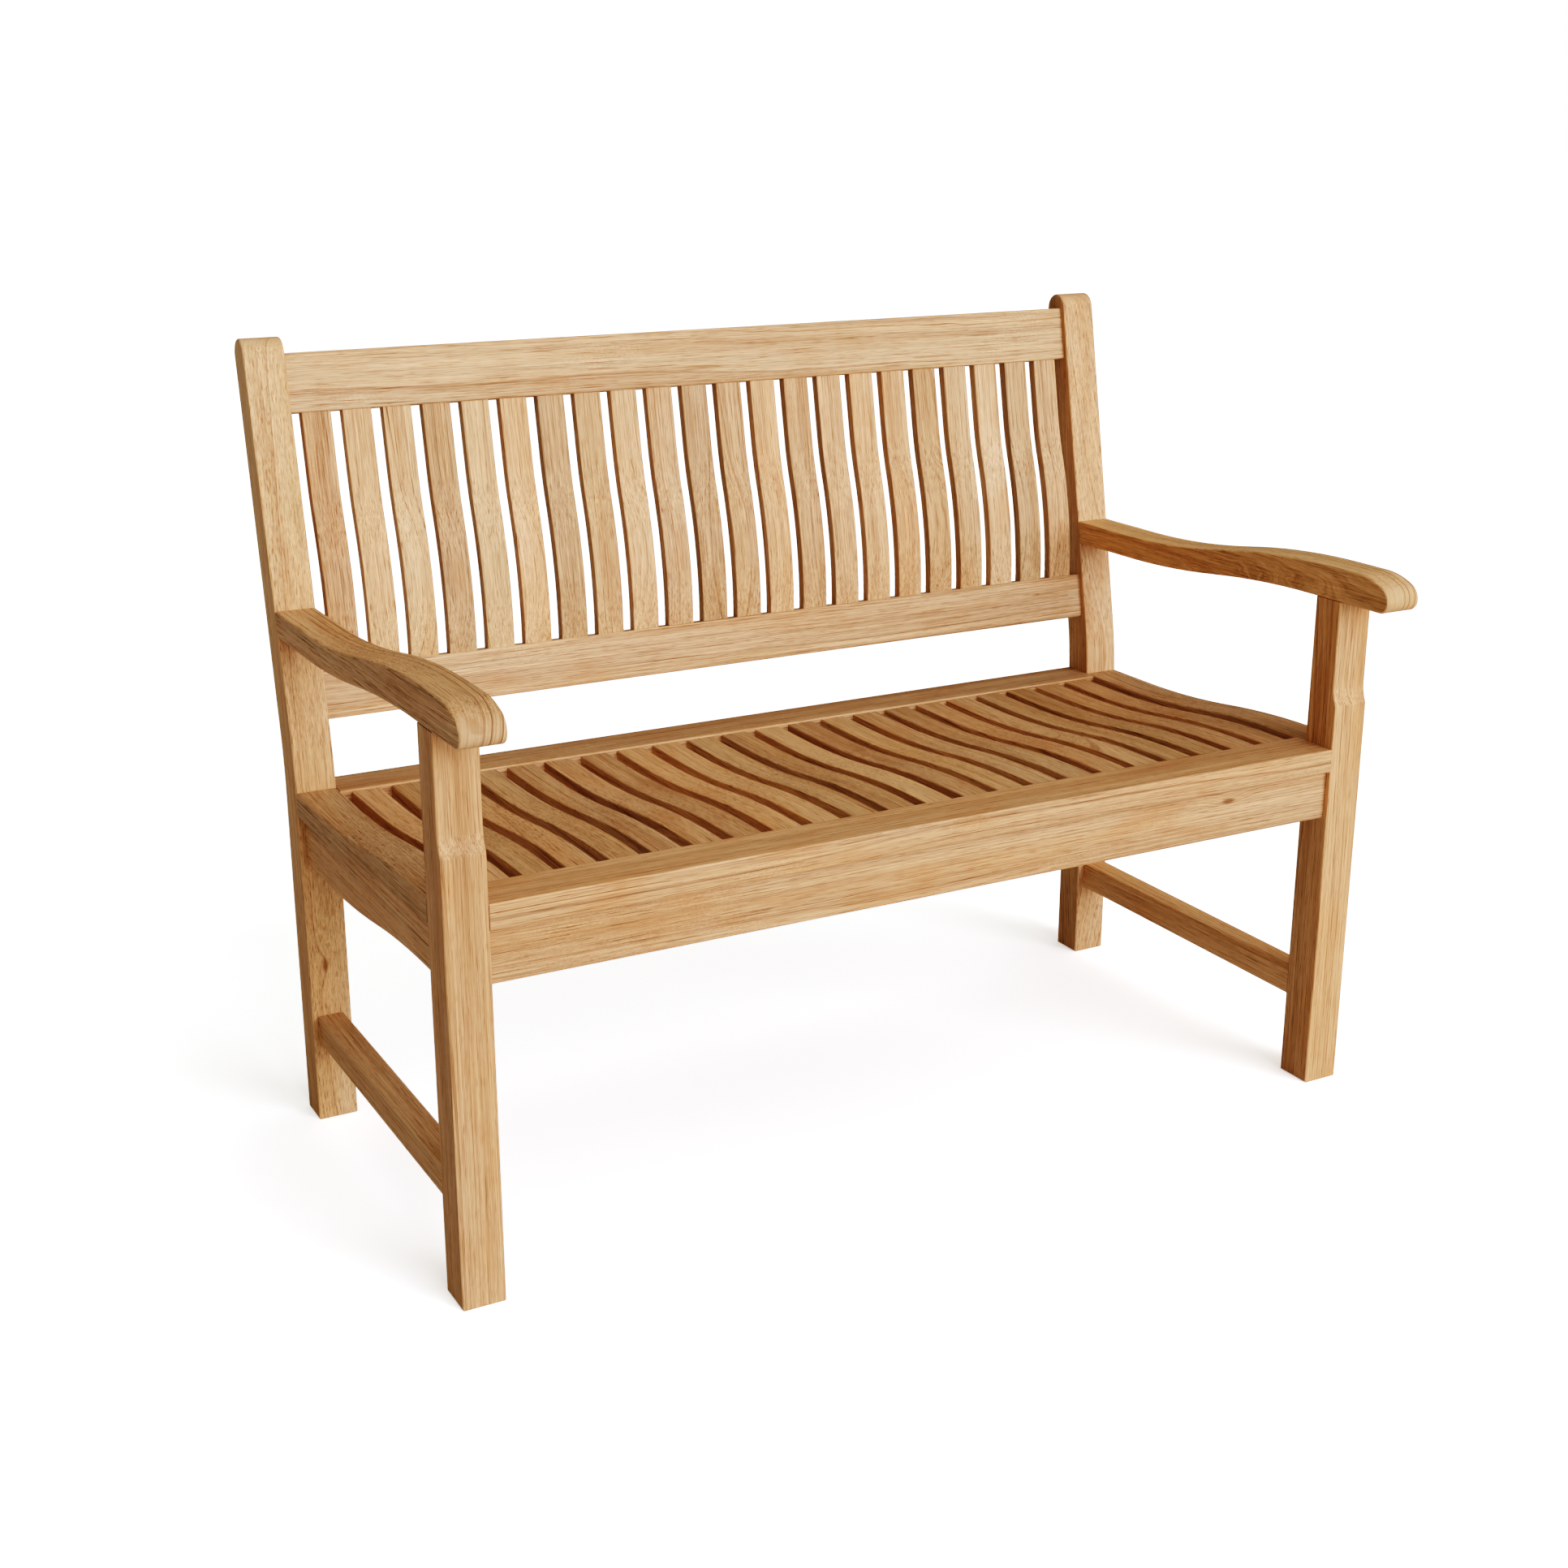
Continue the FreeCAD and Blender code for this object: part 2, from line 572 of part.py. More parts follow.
def arm(name, side):
    body = new_body(f"arm_{name}", left_edge_of(side))
    top_front = f"({leg_front} + Sizes.arm_flat_front)"
    under_front = f"({leg_front} + Sizes.arm_flat_under)"
    curve_rear = f"({front_of_post('Sizes.arm_height')} - Sizes.arm_flat_rear)"
    under_fall = f"({arm_front_under} - {arm_rear_under})"
    top_radius = f"((({curve_rear} - {top_front}) ^ 2 + Sizes.arm_rise ^ 2) / (4 * Sizes.arm_rise))"
    under_radius = f"((({curve_rear} - {under_front}) ^ 2 + {under_fall} ^ 2) / (4 * {under_fall}))"
    radius_change = "(Sizes.nose_crown_radius - Sizes.nose_top_radius)"
    crown_sine = f"((Sizes.nose_fall - Sizes.nose_top_radius) / {radius_change})"
    crown_cosine = f"sqrt(1 - {crown_sine} ^ 2)"
    nose_drop = f"(Sizes.nose_crown_radius - {radius_change} * {crown_cosine})"
    nose_under_radius = f"(Sizes.arm_front_thickness - {nose_drop})"
    corners = [
        (nose_under_radius, arm_front_under),
        (under_front, arm_front_under),
        (f"(({under_front} + {curve_rear}) / 2)", f"(({arm_front_under} + {arm_rear_under}) / 2)"),
        (curve_rear, arm_rear_under),
        (front_of_post(arm_rear_under), arm_rear_under),
        (front_of_post("Sizes.arm_height"), "Sizes.arm_height"),
        (curve_rear, "Sizes.arm_height"),
        (f"(({top_front} + {curve_rear}) / 2)", "(Sizes.arm_height + Sizes.arm_rise / 2)"),
        (top_front, arm_front_top),
        ("Sizes.nose_fall", arm_front_top),
        (
            f"(Sizes.nose_fall - Sizes.nose_crown_radius * {crown_sine})",
            f"({arm_front_top} - Sizes.nose_crown_radius * (1 - {crown_cosine}))",
        ),
        ("0", f"({arm_front_top} - {nose_drop})"),
    ]
    arcs = {
        1: (under_radius, -1),
        2: (under_radius, 1),
        6: (top_radius, -1),
        7: (top_radius, 1),
        9: ("Sizes.nose_crown_radius", 1),
        10: ("Sizes.nose_top_radius", 1),
        11: (nose_under_radius, 1),
    }
    sketch = outline(body, "SideView", corners, arcs)
    sawn = pad(body, sketch, "Sizes.leg_width")
    joint = value(front_of_post(arm_rear_under)) - 1e-3
    ease(body, sawn, flat_sides(lambda middle: middle.y > joint))
    tenon(body, "PostTenon", *arm_rear_tenon)
    mortise(body, "LegMortise", *leg_top_tenon)
    return body


def seat_line(drop, front, rear):
    """Corners of a line this far below the seat boards' tops, from the rear to the front."""
    high = f"(Sizes.seat_height - ({drop}))"
    low = f"({seat_rear_height} - ({drop}))"
    return [
        (rear, low),
        (seat_curve_rear, low),
        (seat_curve_middle, f"(({high} + {low}) / 2)"),
        (seat_curve_front, high),
        (front, high),
    ]


def curved_board(body, front, rear, drop, thickness, width):
    """A board sawn to the seat's line, its top this far below the seat boards' tops."""
    upper = seat_line(drop, front, rear)
    lower = list(reversed(seat_line(f"({drop} + {thickness})", front, rear)))
    arcs = {
        1: (seat_curve_radius, -1),
        2: (seat_curve_radius, 1),
        6: (seat_curve_radius, -1),
        7: (seat_curve_radius, 1),
    }
    sketch = outline(body, "SideView", upper + lower, arcs)
    return pad(body, sketch, width)


def between_faces(front, rear):
    """Picks the long edges of a side-view piece and leaves the edges of its two ends."""
    low = value(front) + 1e-3
    high = value(rear) - 1e-3
    return flat_sides(lambda middle: not low < middle.y < high)


def side_board(name, side):
    body = new_body(f"side_board_{name}", left_edge_of(side))
    sawn = curved_board(body, leg_back, post_front, "0", "Sizes.board_thickness", "Sizes.leg_width")
    ease(body, sawn, between_faces(leg_back, post_front))
    for end in ("Front", "Rear"):
        tenon(body, f"{end}Stub", *side_board_stub(end))
    return body


def side_apron(name, side):
    shift = side_piece_start(side, "Sizes.apron_thickness")
    body = new_body(f"side_apron_{name}", f"{left_edge_of(side)} + {shift}")
    sawn = curved_board(
        body, leg_back, post_front, "Sizes.board_thickness", "Sizes.apron_height", "Sizes.apron_thickness"
    )
    ease(body, sawn, between_faces(leg_back, post_front))
    for end in ("Front", "Rear"):
        (x, y, z), extent = apron_stub(side, end)
        tenon(body, f"{end}Stub", (f"({x}) - ({shift})", y, z), extent)
    return body


def stretcher(name, side):
    shift = side_piece_start(side, "Sizes.stretcher_width")
    body = new_body(f"side_stretcher_{name}", f"{left_edge_of(side)} + {shift}")
    top = "(Sizes.stretcher_clearance + Sizes.stretcher_height)"
    corners = [
        (leg_back, "Sizes.stretcher_clearance"),
        (post_front, "Sizes.stretcher_clearance"),
        (post_front, top),
        (leg_back, top),
    ]
    sawn = pad(body, outline(body, "SideView", corners), "Sizes.stretcher_width")
    ease(body, sawn, between_faces(leg_back, post_front))
    for end in ("Front", "Rear"):
        (x, y, z), extent = stretcher_stub(side, end)
        tenon(body, f"{end}Stub", (f"({x}) - ({shift})", y, z), extent)
    return body


def cross_piece(label, front, rear, bottom, top):
    """A straight board between the two left and right legs or posts."""
    body = new_body(label, f"-{clear_width} / 2")
    corners = [(front, bottom), (rear, bottom), (rear, top), (front, top)]
    sawn = pad(body, outline(body, "Section", corners), clear_width)
    ease(body, sawn, lengthwise)
    return body


def end_tenons(body, description):
    """The tenons at both ends of a cross piece."""
    for end, name in ((-1, "LeftTenon"), (1, "RightTenon")):
        tenon(body, name, *end_tenon(end, *description))


def slat_mortises(body, y, z, depth, height):
    """A row of mortises, one for each slat."""
    first_x = f"({slat_gap} + Sizes.tenon_shoulder)"
    first = mortise(body, "SlatMortise", (first_x, y, z), (slat_tenon_width, depth, height))
    row = body.newObject("PartDesign::LinearPattern", "SlatMortises")
    row.Originals = [first]
    row.Direction = (origin_feature(body, "X_Axis"), [""])
    row.setExpression("Length", f"(Sizes.slat_count - 1) * {slat_pitch}")
    row.setExpression("Occurrences", "Sizes.slat_count")
    body.Tip = row
    doc.recompute()


slat_tenon_width = "(Sizes.slat_width - 2 * Sizes.tenon_shoulder)"
seat_tenon_drop = "(Sizes.seat_slat_sink + (Sizes.seat_slat_thickness + Sizes.slat_tenon_thickness) / 2)"
seat_slat_tenons = {
    "Front": (f"({front_board_rear} - Sizes.slat_tenon_length)", f"(Sizes.seat_height - {seat_tenon_drop})"),
    "Rear": (rear_board_front, f"({seat_rear_height} - {seat_tenon_drop})"),
}


def front_board():
    body = cross_piece("front_board", leg_front, front_board_rear, front_apron_top, "Sizes.seat_height")
    end_tenons(body, front_board_tenon)
    slat_mortises(body, *seat_slat_tenons["Front"], "Sizes.slat_tenon_length", "Sizes.slat_tenon_thickness")
    return body


def rear_board():
    body = cross_piece("rear_board", rear_board_front, post_back, rear_apron_top, seat_rear_height)
    end_tenons(body, rear_board_tenon)
    slat_mortises(body, *seat_slat_tenons["Rear"], "Sizes.slat_tenon_length", "Sizes.slat_tenon_thickness")
    return body


def bearer_stub(end):
    """The middle bearer's stub tenon, in the aprons' own X."""
    top = front_apron_top if end == "Front" else rear_apron_top
    end_y = stub_ends(front_apron_back, rear_apron_front)[end]
    bottom = f"({top} - Sizes.bearer_depth + Sizes.tenon_shoulder)"
    return (
        (f"({clear_width} - Sizes.tenon_thickness) / 2", end_y, bottom),
        ("Sizes.tenon_thickness", "Sizes.stub_length", "Sizes.bearer_depth - 2 * Sizes.tenon_shoulder"),
    )


def front_apron():
    bottom = f"({front_apron_top} - Sizes.apron_height)"
    front = f"({leg_front} + Sizes.reveal)"
    body = cross_piece("front_apron", front, front_apron_back, bottom, front_apron_top)
    end_tenons(body, front_apron_tenon)
    mortise(body, "BearerMortise", *bearer_stub("Front"))
    y_start = f"({front_apron_tenon[0]} - Sizes.tenon_thickness / 2)"
    cross_peg_holes(body, y_start, [peg[1] for peg in front_joint_pegs])
    return body


def rear_apron():
    bottom = f"({rear_apron_top} - Sizes.apron_height)"
    rear = f"({post_back} - Sizes.reveal)"
    body = cross_piece("rear_apron", rear_apron_front, rear, bottom, rear_apron_top)
    end_tenons(body, rear_apron_tenon)
    mortise(body, "BearerMortise", *bearer_stub("Rear"))
    y_start = f"({rear_apron_tenon[0]} - Sizes.tenon_thickness / 2)"
    cross_peg_holes(body, y_start, [peg[1] for peg in rear_joint_pegs])
    return body


def back_rail(label, slats_enter_at):
    """A leaning rail, drawn with y behind the posts' fronts and z along the lean."""
    bottom, width = RAILS[label]
    body = new_body(label, f"-{clear_width} / 2", post_front, bend_height, leaning=True)
    top = f"({bottom} + {width})"
    rear = "(Sizes.reveal + Sizes.rail_thickness)"
    corners = [("Sizes.reveal", bottom), (rear, bottom), (rear, top), ("Sizes.reveal", top)]
    sawn = pad(body, outline(body, "Section", corners), clear_width)
    ease(body, sawn, lengthwise)
    end_tenons(body, rail_tenon(bottom, width))
    y_start = f"({rail_middle} - Sizes.tenon_thickness)"
    heights = [f"({bottom} + {width} / 2 + {step} * Sizes.peg_pitch / 2)" for step in (-1, 1)]
    cross_peg_holes(body, y_start, heights)
    behind = f"({slat_front} + (Sizes.back_slat_thickness - Sizes.slat_tenon_thickness) / 2)"
    slat_mortises(body, behind, slats_enter_at, "Sizes.slat_tenon_thickness", "Sizes.slat_tenon_length")
    return body


def back_slat(number):
    """A slat that bows forward at the small of the back, standing between the two rails."""
    x = f"-{clear_width} / 2 + {slat_gap} + {number - 1} * {slat_pitch}"
    behind = f"({slat_front} - Sizes.lumbar_bulge)"
    body = new_body(
        f"back_slat_{number:02d}", x, leaning_y(lower_rail_top, behind), leaning_z(lower_rail_top, behind),
        leaning=True,
    )
    bow = f"({bare_slat} * Sizes.lumbar_share)"
    fade = f"({bare_slat} * Sizes.runout_share)"
    rising_radius = f"(({bow} ^ 2 + Sizes.lumbar_bulge ^ 2) / (2 * Sizes.lumbar_bulge))"
    both_radii = f"(({fade} ^ 2 + Sizes.lumbar_bulge ^ 2) / (2 * Sizes.lumbar_bulge))"
    falling_radius = f"({both_radii} - {rising_radius})"
    change = f"({rising_radius} / {both_radii})"
    base = "Sizes.lumbar_bulge"
    front_line = [
        (base, "0"),
        ("0", bow),
        (f"(Sizes.lumbar_bulge * {change})", f"({bow} + {fade} * {change})"),
        (base, f"({bow} + {fade})"),
        (base, bare_slat),
    ]
    rear_line_up = [(f"({y} + Sizes.back_slat_thickness)", z) for y, z in reversed(front_line)]
    arcs = {
        0: (rising_radius, -1),
        1: (rising_radius, -1),
        2: (falling_radius, 1),
        6: (falling_radius, -1),
        7: (rising_radius, 1),
        8: (rising_radius, 1),
    }
    sketch = outline(body, "SideView", front_line + rear_line_up, arcs)
    sawn = pad(body, sketch, "Sizes.slat_width")
    length = value(bare_slat)
    ease(body, sawn, flat_sides(lambda middle: not 1e-3 < middle.z < length - 1e-3), "Sizes.slat_edge")
    tenon_y = "(Sizes.lumbar_bulge + (Sizes.back_slat_thickness - Sizes.slat_tenon_thickness) / 2)"
    extent = (slat_tenon_width, "Sizes.slat_tenon_thickness", "Sizes.slat_tenon_length")
    tenon(body, "LowerTenon", ("Sizes.tenon_shoulder", tenon_y, "-Sizes.slat_tenon_length"), extent)
    tenon(body, "UpperTenon", ("Sizes.tenon_shoulder", tenon_y, bare_slat), extent)
    return body


def seat_slat(number):
    """One seat slat, with a tenon at each end."""
    x = f"-{clear_width} / 2 + {slat_gap} + {number - 1} * {slat_pitch}"
    body = new_body(f"seat_slat_{number:02d}", x)
    sawn = curved_board(
        body, front_board_rear, rear_board_front, "Sizes.seat_slat_sink", "Sizes.seat_slat_thickness",
        "Sizes.slat_width",
    )
    ease(body, sawn, between_faces(front_board_rear, rear_board_front), "Sizes.slat_edge")
    extent = (slat_tenon_width, "Sizes.slat_tenon_length", "Sizes.slat_tenon_thickness")
    for end, (y, z) in seat_slat_tenons.items():
        tenon(body, f"{end}Tenon", ("Sizes.tenon_shoulder", y, z), extent)
    return body


def seat_bearer():
    """The bearer under the middle of the seat, from apron to apron."""
    body = new_body("seat_bearer", "-Sizes.bearer_width / 2")
    slat_drop = "(Sizes.seat_slat_sink + Sizes.seat_slat_thickness)"
    upper = [(rear_apron_front, rear_apron_top), (rear_board_front, rear_apron_top)]
    upper += seat_line(slat_drop, front_board_rear, rear_board_front)
    upper += [(front_board_rear, front_apron_top), (front_apron_back, front_apron_top)]
    under_drop = "(Sizes.board_thickness + Sizes.bearer_depth)"
    lower = list(reversed(seat_line(under_drop, front_apron_back, rear_apron_front)))
    arcs = {
        3: (seat_curve_radius, -1),
        4: (seat_curve_radius, 1),
        10: (seat_curve_radius, -1),
        11: (seat_curve_radius, 1),
    }
    pad(body, outline(body, "SideView", upper + lower, arcs), "Sizes.bearer_width")
    for end in ("Front", "Rear"):
        (x, y, z), extent = bearer_stub(end)
        in_bearer = f"({x}) - ({clear_width} - Sizes.bearer_width) / 2"
        tenon(body, f"{end}Stub", (in_bearer, y, z), extent)
    return body


def joint_pegs():
    """All the pegs, as one group of separate dowels."""
    group = doc.addObject("Part::Compound", "joint_pegs")
    group.Label = "joint_pegs"
    pegs = []
    for name, side in SIDES.items():
        x = f"{side} * ({clear_width} / 2 + Sizes.peg_inset)"
        for y, z, length, leaning in front_joint_pegs + rear_joint_pegs + back_joint_pegs:
            peg = doc.addObject("Part::Cylinder", f"peg_{name}_{len(pegs) + 1:02d}")
            peg.Placement = FreeCAD.Placement(
                FreeCAD.Vector(), FreeCAD.Rotation(FreeCAD.Vector(1, 0, 0), -90)
            )
            if leaning:
                peg.setExpression("Placement.Rotation.Angle", f"-90 deg - {lean_angle}")
            peg.setExpression("Placement.Base.x", x)
            peg.setExpression("Placement.Base.y", f"{y} - {overall_depth} / 2")
            peg.setExpression("Placement.Base.z", z)
            peg.setExpression("Radius", "Sizes.peg_diameter / 2")
            peg.setExpression("Height", length)
            pegs.append(peg)
    group.Links = pegs
    return group


def seat_slats():
    """All the seat slats, as one group of separate solids."""
    group = doc.addObject("Part::Compound", "seat_slats")
    group.Label = "seat_slats"
    group.Links = [seat_slat(number) for number in range(1, int(value("Sizes.slat_count")) + 1)]
    return group


def build():
    pieces = []
    for name, side in SIDES.items():
        for make in (front_leg, back_post, arm, side_board, side_apron, stretcher):
            pieces.append(make(name, side))
    pieces += [front_board(), rear_board(), front_apron(), rear_apron(), seat_bearer()]
    lower_entry = f"({lower_rail_top} - Sizes.slat_tenon_length)"
    pieces += [back_rail("lower_back_rail", lower_entry), back_rail("top_back_rail", top_rail_bottom)]
    pieces += [back_slat(number) for number in range(1, int(value("Sizes.slat_count")) + 1)]
    pieces += [seat_slats(), joint_pegs()]
    doc.recompute()
    return pieces


def check(pieces):
    """Stops the build where a feature failed or a piece isn't a sound solid."""
    for item in doc.Objects:
        if "Invalid" in item.State or "Error" in item.State:
            raise RuntimeError(f"{item.Label} failed: {item.State}")
    for piece in pieces:
        if piece.Shape.isNull() or not piece.Shape.isValid() or not piece.Shape.Solids:
            raise RuntimeError(f"{piece.Label} has no sound shape")


parts = build()
check(parts)
os.makedirs("parts", exist_ok=True)
for part in parts:
    part.Shape.exportStep(f"parts/{part.Label}.step")
print(len(parts), "pieces written")
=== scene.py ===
import math

import bpy
import numpy as np
from mathutils import Euler, Matrix, Vector


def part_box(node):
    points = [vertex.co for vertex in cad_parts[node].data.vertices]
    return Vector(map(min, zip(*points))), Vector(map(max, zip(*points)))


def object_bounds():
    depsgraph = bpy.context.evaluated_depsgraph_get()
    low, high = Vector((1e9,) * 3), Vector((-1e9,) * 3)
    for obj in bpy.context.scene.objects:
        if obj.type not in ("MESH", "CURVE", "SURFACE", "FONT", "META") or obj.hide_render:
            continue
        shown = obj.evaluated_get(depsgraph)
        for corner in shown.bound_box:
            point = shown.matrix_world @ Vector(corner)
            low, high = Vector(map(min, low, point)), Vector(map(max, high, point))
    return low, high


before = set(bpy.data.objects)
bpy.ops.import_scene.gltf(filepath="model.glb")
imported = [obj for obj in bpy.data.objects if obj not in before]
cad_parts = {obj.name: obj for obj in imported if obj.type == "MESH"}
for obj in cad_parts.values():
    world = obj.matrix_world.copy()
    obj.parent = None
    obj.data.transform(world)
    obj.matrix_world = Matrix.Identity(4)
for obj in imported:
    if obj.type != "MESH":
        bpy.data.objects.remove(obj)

# A garden bench of bare planed teak on a pale floor. Metres, in the frame of the CAD model:
# +X to the right as seen from the front, +Y to the back, +Z up.

CAD_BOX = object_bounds()

BACK_LEAN = math.atan(0.191)       # how far the back leans from upright
POST_LEAN = BACK_LEAN / 2          # the posts are sawn from planks laid halfway along their bend
SLAT_COUNT = 22


def width_of(name):
    low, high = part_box(name)
    return high.x - low.x


SLAT_WIDTH = width_of("back_slat_01")
CLEAR_WIDTH = CAD_BOX[1].x - CAD_BOX[0].x - 2 * width_of("front_leg_left")
SLAT_GAP = (CLEAR_WIDTH - SLAT_COUNT * SLAT_WIDTH) / (SLAT_COUNT + 1)
SLAT_PITCH = SLAT_WIDTH + SLAT_GAP

# Turns that lay a piece down so that its grain runs along x.
GRAIN_TURNS = {
    "across": Matrix.Identity(3),
    "upright": Matrix.Rotation(math.radians(90), 3, "Y"),
    "back_to_front": Matrix.Rotation(math.radians(-90), 3, "Z"),
    "post": Matrix.Rotation(math.radians(90), 3, "Y") @ Matrix.Rotation(POST_LEAN, 3, "X"),
    "leaning": Matrix.Rotation(math.radians(90), 3, "Y") @ Matrix.Rotation(BACK_LEAN, 3, "X"),
    "leaning_across": Matrix.Rotation(BACK_LEAN, 3, "X"),
}

GRAIN_OF = [
    ("front_leg", "upright"),
    ("back_post", "post"),
    ("arm", "back_to_front"),
    ("side_", "back_to_front"),
    ("seat_bearer", "back_to_front"),
    ("seat_slats", "back_to_front"),
    ("joint_pegs", "back_to_front"),
    ("back_slat", "leaning"),
    ("lower_back_rail", "leaning_across"),
    ("top_back_rail", "leaning_across"),
    ("front_", "across"),
    ("rear_", "across"),
]

# Teak: the pale wood between the rings, its darker and redder kinds, the porous line that
# starts each ring and the heart of a knot.
PALE_WOOD = (0.685, 0.460, 0.288, 1)
HONEY_WOOD = (0.620, 0.376, 0.210, 1)
BROWN_WOOD = (0.410, 0.214, 0.100, 1)
PORE_LINE = (0.236, 0.102, 0.042, 1)
RUST_WOOD = (0.560, 0.285, 0.138, 1)
OLIVE_WOOD = (0.425, 0.290, 0.132, 1)
KNOT_HEART = (0.170, 0.065, 0.020, 1)

# The figure of the wood.
RING_WIDTH = 0.0034                # mean width of a growth ring
KNOT_STRETCH = 0.36                # share of a distance along the grain that counts in a knot's eye
KNOT_REACH = 0.011                 # about how far from its heart a knot pushes the rings aside
KNOT_RIM = 0.0050                  # where the dark heart of a knot ends
KNOT_CORE = 0.0015                 # where it is fully dark
ARM_PITH = (math.radians(8), 0.4)  # direction and distance of an arm's pith line
ARM_LINES = 1.8                    # strength of an arm's rings and lines; other boards have 1
SLAT_DRAW_START = 7.3              # picks which random numbers the seat slats get
BUMP_DEPTH = 0.0004                # depth of the pores and fibres

# Floor and sky: the light that they throw on the bench, and how they show to the camera.
FLOOR_THROWN = (0.72, 0.69, 0.64, 1)
FLOOR_SHOWN = (2.14, 2.34, 2.62, 1)
FLOOR_GLOW = 0.20
SKY_THROWN = (0.175, 0.152, 0.110, 1)
SKY_SHOWN = (1.0, 1.0, 1.0, 1)


class Nodes:
    """A short way to write a node tree. add gives back the node that it makes; the calls that
    work out a value give back the output that holds it."""

    def __init__(self, tree):
        self.tree = tree

    def add(self, kind, inputs=None, **settings):
        node = self.tree.nodes.new(kind)
        for name, setting in settings.items():
            setattr(node, name, setting)
        for key, value in (inputs or {}).items():
            self.feed(node.inputs[key], value)
        return node

    def feed(self, socket, value):
        if isinstance(value, bpy.types.NodeSocket):
            self.tree.links.new(value, socket)
        else:
            socket.default_value = value

    def math(self, operation, *values, clamp=False):
        inputs = dict(enumerate(values))
        return self.add("ShaderNodeMath", inputs, operation=operation, use_clamp=clamp).outputs[0]

    def vector(self, operation, *values):
        return self.add("ShaderNodeVectorMath", dict(enumerate(values)), operation=operation).outputs[0]

    def length(self, vector):
        return self.add("ShaderNodeVectorMath", {0: vector}, operation="LENGTH").outputs["Value"]

    def noise(self, place, stretch, detail=2.0, roughness=0.5):
        """Smooth noise whose grains measure about one over the stretch along each axis."""
        scaled = self.vector("MULTIPLY", place, stretch)
        inputs = {"Vector": scaled, "Scale": 1.0, "Detail": detail, "Roughness": roughness}
        return self.add("ShaderNodeTexNoise", inputs).outputs[0]

    def line_noise(self, place, detail):
        """Smooth noise along a single number."""
        inputs = {"W": place, "Detail": detail}
        return self.add("ShaderNodeTexNoise", inputs, noise_dimensions="1D").outputs[0]

    def draws(self, number):
        """Random outputs, Value and Color, with one draw for each different number."""
        return self.add("ShaderNodeTexWhiteNoise", {"W": number}, noise_dimensions="1D").outputs

    def fade(self, value, low, high):
        """Zero below low, one above high and smooth between them; low may be the higher."""
        inputs = {"Value": value, "From Min": low, "From Max": high}
        return self.add("ShaderNodeMapRange", inputs, interpolation_type="SMOOTHSTEP").outputs[0]

    def blend(self, share, first, second, kind="MIX"):
        """A mix of two colours. Inputs 6 and 7 and output 2 are the node's colour sockets."""
        node = self.add("ShaderNodeMix", data_type="RGBA", blend_type=kind)
        self.feed(node.inputs[0], share)
        self.feed(node.inputs[6], first)
        self.feed(node.inputs[7], second)
        return node.outputs[2]


